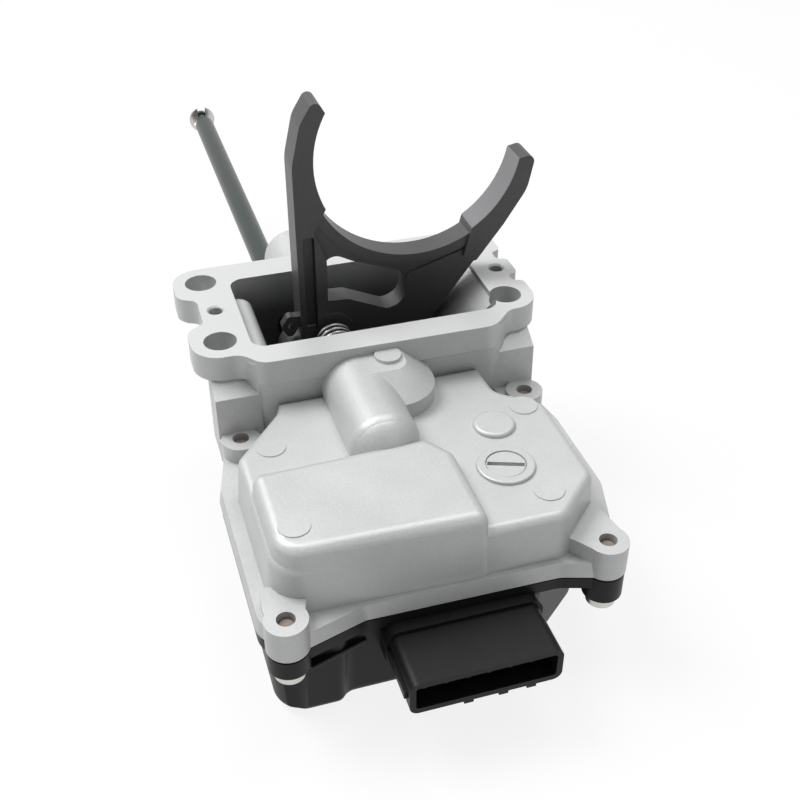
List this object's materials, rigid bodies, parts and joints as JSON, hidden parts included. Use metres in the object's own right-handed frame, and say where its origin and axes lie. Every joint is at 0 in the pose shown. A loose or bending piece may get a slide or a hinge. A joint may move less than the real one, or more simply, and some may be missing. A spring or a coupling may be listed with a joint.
{
  "type": "axle disconnect actuator",
  "caption": "Electric actuator with a cast gear case, a black cover with a connector, and a sliding shaft and shift fork that engage an axle clutch sleeve.",
  "frame": {"origin": "centre of the four flange bolts, on the machined flange face", "axes": "+Z out of the flange face towards the axle, +X to the right along the flange, +Y along the shift shaft towards its free end"},
  "size_m": [0.1128, 0.3294, 0.1305],
  "materials": {
    "cast_aluminium": "bead-blasted die casting",
    "black_plastic": "glass-filled black plastic",
    "black_rubber": "black rubber",
    "zinc_steel": "zinc-plated steel",
    "fork_iron": "dark phosphated cast steel",
    "ground_steel": "ground and oiled dark steel",
    "spring_steel": "oil-tempered spring steel",
    "bronze": "sintered bronze",
    "gear_steel": "cut steel",
    "gear_plastic": "natural gear plastic",
    "magnet": "ferrite",
    "lamination": "laminated steel",
    "copper": "copper",
    "contact_metal": "tinned brass",
    "carbon": "carbon",
    "board_green": "glass-epoxy board",
    "amber_film": "amber film"
  },
  "bodies": {
    "casting": {"gear_housing": "cast_aluminium", "bottom_cover": "black_plastic", "cover_gasket": "black_rubber", "cover_screws": "zinc_steel", "cover_washers": "zinc_steel", "connector_terminals": "contact_metal", "access_plug": "cast_aluminium", "access_plug_seal": "black_rubber", "circuit_board": "board_green", "board_screws": "zinc_steel", "flex_lead": "amber_film", "motor_can": "zinc_steel", "motor_magnets": "magnet", "motor_end_cap": "black_plastic", "motor_brushes": "carbon", "motor_bushes": "bronze", "motor_pad": "black_rubber", "motor_screws": "zinc_steel", "worm_end_bush": "bronze", "wheel_axle": "ground_steel", "idler_axle": "ground_steel", "output_axle": "ground_steel", "axle_clips": "spring_steel", "rod_seal": "black_rubber", "rear_plug": "zinc_steel", "shaft_bush": "bronze"},
    "shift_fork_body": {"shift_shaft": "ground_steel", "shift_fork": "fork_iron", "fork_pin": "spring_steel", "shaft_tip_clip": "zinc_steel"},
    "drive_rod_body": {"drive_rod": "ground_steel", "rod_snap_rings": "spring_steel", "spring_seat": "zinc_steel", "waiting_spring": "spring_steel"},
    "output_body": {"output_pinion": "gear_steel"},
    "idler_body": {"idler_gear": "gear_steel", "contact_rotor": "black_plastic"},
    "wheel_body": {"worm_wheel": "gear_plastic", "wheel_pinion": "gear_steel"},
    "armature_body": {"armature_shaft": "ground_steel", "armature_core": "lamination", "commutator": "copper", "worm": "gear_steel"}
  },
  "joints": [
    {"name": "shift_slide", "type": "slide", "parent": "casting", "child": "shift_fork_body", "axis": [0, 1, 0], "range_m": [0, 0.01]},
    {"name": "drive_rod_slide", "type": "slide", "parent": "casting", "child": "drive_rod_body", "axis": [0, 1, 0], "range_m": [0, 0.01]},
    {"name": "output_turn", "type": "hinge", "parent": "casting", "child": "output_body", "pos_m": [0.0015, -0.039, -0.016], "axis": [0, 0, 1], "range_deg": [-88.2, 0]},
    {"name": "idler_turn", "type": "hinge", "parent": "casting", "child": "idler_body", "pos_m": [0.00622, -0.05057, -0.025], "axis": [0, 0, 1], "range_deg": [0, 95.54]},
    {"name": "wheel_turn", "type": "hinge", "parent": "casting", "child": "wheel_body", "pos_m": [0.0253, -0.0625, -0.028], "axis": [0, 0, 1], "range_deg": [-191.04, 0]},
    {"name": "armature_turn", "type": "hinge", "parent": "casting", "child": "armature_body", "pos_m": [-0.015, -0.0825, -0.0306], "axis": [1, 0, 0], "range_deg": [0, 5729.63]}
  ],
  "couplings": [
    {"joint": "drive_rod_slide", "follows": "shift_slide", "ratio": 1},
    {"joint": "output_turn", "follows": "shift_slide", "rad_per_m": -153.85},
    {"joint": "idler_turn", "follows": "shift_slide", "rad_per_m": 166.67},
    {"joint": "wheel_turn", "follows": "shift_slide", "rad_per_m": -333.33},
    {"joint": "armature_turn", "follows": "shift_slide", "rad_per_m": 10000}
  ]
}
